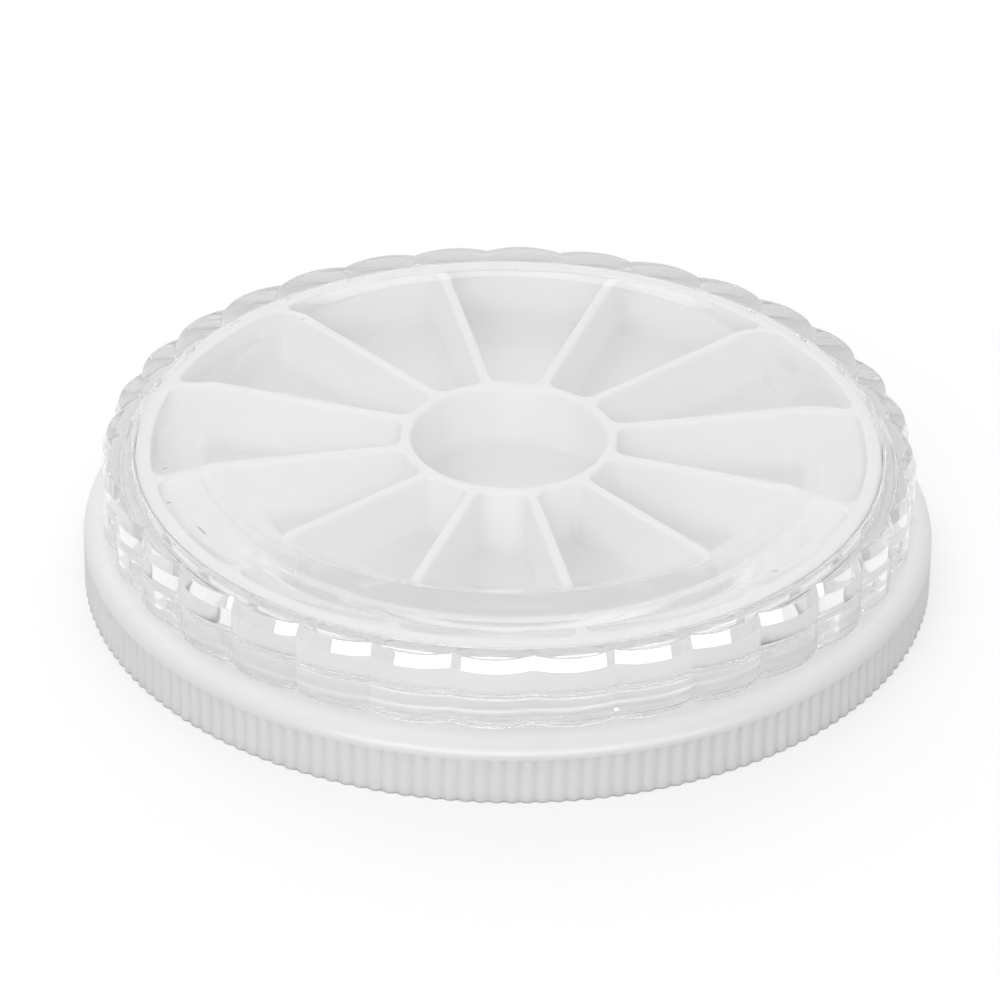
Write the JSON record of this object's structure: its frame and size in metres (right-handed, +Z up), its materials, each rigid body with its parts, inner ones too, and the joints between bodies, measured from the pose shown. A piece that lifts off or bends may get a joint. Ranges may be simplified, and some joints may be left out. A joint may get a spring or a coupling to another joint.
{
  "type": "round well palette",
  "caption": "Round pocket palette: ribbed white base, white radial divider tray with a centre well, and a clear scalloped screw lid.",
  "frame": {"origin": "centre of the base's foot ring, on the table", "axes": "+Z up along the thread axis, -Y to the front of the picture, +X to its right"},
  "size_m": [0.058, 0.058, 0.0111],
  "materials": {
    "base_white": "satin",
    "tray_white": "satin",
    "clear_plastic": "clear gloss"
  },
  "bodies": {
    "base": {"base": "base_white"},
    "tray": {"divider_tray": "tray_white"},
    "lid": {"lid": "clear_plastic"}
  },
  "joints": [
    {"name": "lid_turn", "type": "hinge", "parent": "base", "child": "tray", "pos_m": [0, 0, 0.0037], "axis": [0, 0, 1], "range_deg": [0, 720]},
    {"name": "lid_lift", "type": "slide", "parent": "tray", "child": "lid", "axis": [0, 0, 1], "range_m": [0, 0.006]}
  ],
  "couplings": [
    {"joint": "lid_lift", "follows": "lid_turn", "m_per_rad": 0.00047746}
  ]
}
